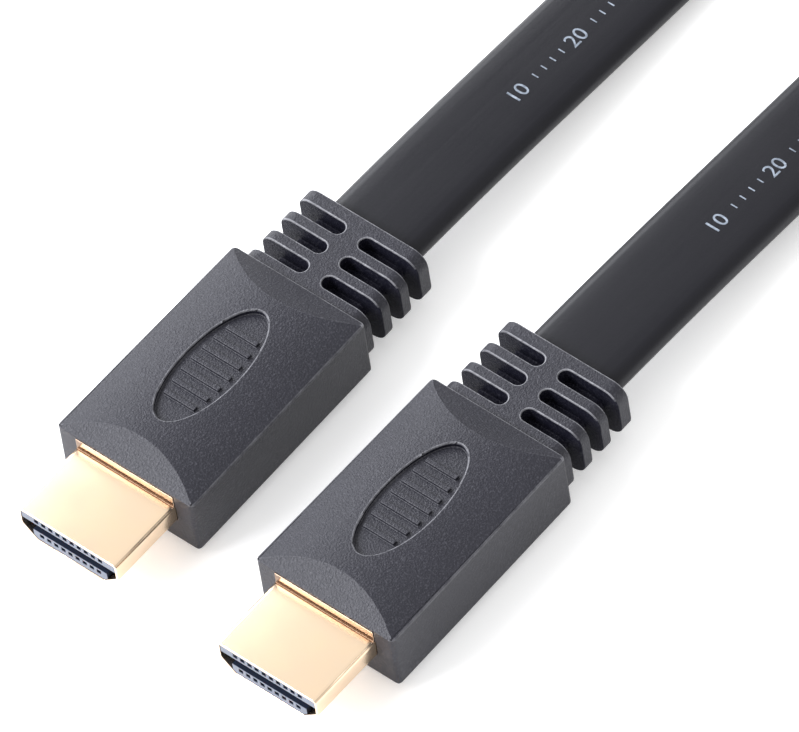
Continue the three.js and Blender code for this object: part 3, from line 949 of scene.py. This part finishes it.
def tick_tree():
    tree, given, line = begin_row("tick_row", ("Length",))
    link = tree.links.new
    size = add(tree, "ShaderNodeCombineXYZ", {"X": 0.16 * MM, "Z": 0.03 * MM})
    link(given.outputs["Length"], size.inputs["Y"])
    bar = add(tree, "GeometryNodeMeshCube")
    link(size.outputs[0], bar.inputs["Size"])
    row = add(tree, "GeometryNodeInstanceOnPoints")
    link(line.outputs[0], row.inputs["Points"])
    link(bar.outputs[0], row.inputs["Instance"])
    return tree, end_row(tree, row)


def ink_finish():
    material, tree, shader, where = finish("pale_ink", (0.42, 0.47, 0.55), 0.5)
    tint_mask = effect(tree, BLOTCH, where, {"Scale": 1600.0})
    pale = tint(tree, tint_mask.outputs[0], (0.07, 0.085, 0.11), (0.27, 0.31, 0.37))
    tree.links.new(pale, shader.inputs["Base Color"])
    tree.links.new(ramp(tree, tint_mask.outputs[0], 0.6, 0.45), shader.inputs["Roughness"])
    return material


ink = ink_finish()
TICKS, TICK_COAT = tick_tree()
TICK_COAT.inputs["Material"].default_value = ink
print("tree:", TICKS.name)

# %% Draw the scale and lay it on each lead
DIGIT_TALL, SCALE_STEP = 1.9, 10
SCALE_ASIDE = 0.7
SCALE_STARTS = {"a": (-PLUG_X, 49.2), "b": (PLUG_X, 47.9)}


def number_mesh(text, height):
    curve = bpy.data.curves.new("number", "FONT")
    curve.body, curve.size, curve.extrude = text, height / 0.7 * MM, 0.015 * MM
    curve.resolution_u = 4
    drawn = bpy.data.objects.new("number", curve)
    bpy.context.scene.collection.objects.link(drawn)
    mesh = solid_copy(drawn)
    bpy.data.objects.remove(drawn)
    return mesh


def scale_mesh(name):
    """Numbers and ticks drawn flat: X is along the lead and Y is across it."""
    bm = bmesh.new()
    for k in range(3):
        part = number_mesh(str(SCALE_STEP * (k + 1)), DIGIT_TALL)
        part.transform(Matrix.Translation((SCALE_STEP * k * MM, -DIGIT_TALL / 2 * MM, 0)))
        bm.from_mesh(part)
    for k in range(2):
        row = run_tree("ticks", TICKS, {"Count": 4, "Pitch": 1.5 * MM, "Length": 0.9 * MM},
                       Vector((SCALE_STEP * k + 4.4, 0, 0)) * MM)
        bm.from_mesh(row.data)
        bpy.data.objects.remove(row)
    bmesh.ops.remove_doubles(bm, verts=bm.verts, dist=1e-6)
    bmesh.ops.recalc_face_normals(bm, faces=bm.faces)
    for face in bm.faces:
        face.material_index = 0
    mesh = bpy.data.meshes.new(name)
    bm.to_mesh(mesh)
    bm.free()
    return mesh


for key, (middle, start) in SCALE_STARTS.items():
    mesh = scale_mesh(f"scale_print_{key}")
    for v in mesh.vertices:
        along, across, up = v.co / MM
        y = start + along
        top = sag(y, *SINKS[key]) + LEAD_THICK / 2
        v.co = Vector((middle + SCALE_ASIDE - across, y, top + up)) * MM
    mesh.materials.append(ink)
    scale = show(mesh.name, mesh, False)
    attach(scale, "root")
    print(scale.name, "faces:", len(mesh.polygons))

# %% [markdown]
# ### Woven tape
# Loop tape is a dense black weave. The threads cross at right angles, which two waves
# along the tape's own map give, and fine noise makes them fuzzy.

# %% Finish of the ties


def tape_finish():
    material, tree, shader, where = finish("woven_tape", (0.02, 0.02, 0.021), 0.85)
    shader.inputs["Sheen Weight"].default_value = 0.35
    shader.inputs["Sheen Roughness"].default_value = 0.5
    cross = add(tree, "ShaderNodeMath", operation="MULTIPLY")
    for number, (direction, density) in enumerate((("X", 420.0), ("Y", 300.0))):
        wave = add(tree, "ShaderNodeTexWave", {
            "Scale": density, "Distortion": 0.4, "Detail": 1.0}, bands_direction=direction)
        tree.links.new(where.outputs["UV"], wave.inputs["Vector"])
        tree.links.new(wave.outputs[1], cross.inputs[number])
    fuzz = effect(tree, GRAIN, where, {"Scale": 4200.0})
    both = add(tree, "ShaderNodeMath", {1: 0.5}, operation="MULTIPLY_ADD")
    tree.links.new(fuzz.outputs["Height"], both.inputs[0])
    tree.links.new(cross.outputs[0], both.inputs[2])
    threads = tint(tree, cross.outputs[0], (0.010, 0.010, 0.011), (0.034, 0.034, 0.037))
    tree.links.new(threads, shader.inputs["Base Color"])
    bump(tree, both.outputs[0], shader, 0.12 * MM, 0.7)
    return material


tape = tape_finish()
for pair in ties.values():
    for piece in pair:
        piece.data.materials.append(tape)
print("finish:", tape.name)

# %% [markdown]
# ## Table and light
# A pale table and a bright, even room give the soft look of a catalogue picture. The dark
# plastic shows its shape through what it mirrors, so a wide soft light stands on the left
# and a smaller, stronger one in front: the crown and the facet at the front brighten towards
# them, and the right side stays dark.

# %% Table and room
table_mesh = bpy.data.meshes.new("table")
HALF = 6
table_mesh.from_pydata(
    [(-HALF, -HALF, 0), (HALF, -HALF, 0), (HALF, HALF, 0), (-HALF, HALF, 0)], [], [(0, 1, 2, 3)])
table = show("table", table_mesh, False)
table_look, table_tree, table_shader, table_where = finish("pale_table", (0.93, 0.93, 0.93), 0.6)
table_shader.inputs["Specular IOR Level"].default_value = 0.2
cloud = effect(table_tree, BLOTCH, table_where, {"Scale": 3.0})
cloudy = tint(table_tree, cloud.outputs[0], (0.92, 0.92, 0.92), (0.95, 0.95, 0.95))
table_tree.links.new(cloudy, table_shader.inputs["Base Color"])
table_shader.inputs["Emission Color"].default_value = (1, 1, 1, 1)
table_shader.inputs["Emission Strength"].default_value = 0.33
table.data.materials.append(table_look)

world = bpy.data.worlds.new("room")
bpy.context.scene.world = world
world.use_nodes = True
room_light = world.node_tree.nodes["Background"]
room_light.inputs["Color"].default_value = (1.0, 1.0, 1.0, 1)
room_light.inputs["Strength"].default_value = 0.95
bpy.context.scene.view_settings.view_transform = "Standard"
print("table and room are ready")

# %% Soft lights


def soft_light(name, towards, distance, size, radiance, colour=(1, 1, 1)):
    """A rectangle of light that faces the plugs. Radiance is its brightness as seen."""
    data = bpy.data.lights.new(name, "AREA")
    data.shape = "RECTANGLE"
    data.size, data.size_y = size
    data.energy = radiance * math.pi * size[0] * size[1]
    data.color = colour
    lamp = bpy.data.objects.new(name, data)
    out = Vector(towards).normalized()
    lamp.location = out * distance + Vector((0, 0.02, 0))
    lamp.rotation_mode = "QUATERNION"
    lamp.rotation_quaternion = out.to_track_quat("Z", "Y")
    bpy.context.scene.collection.objects.link(lamp)
    return lamp


soft_light("key_left", (-0.86, -0.02, 0.52), 1.3, (1.9, 0.7), 6.6, (0.93, 0.95, 1.0))
soft_light("front_fill", (-0.50, -0.62, 0.70), 1.3, (0.8, 0.6), 13.5, (0.95, 0.96, 1.0))
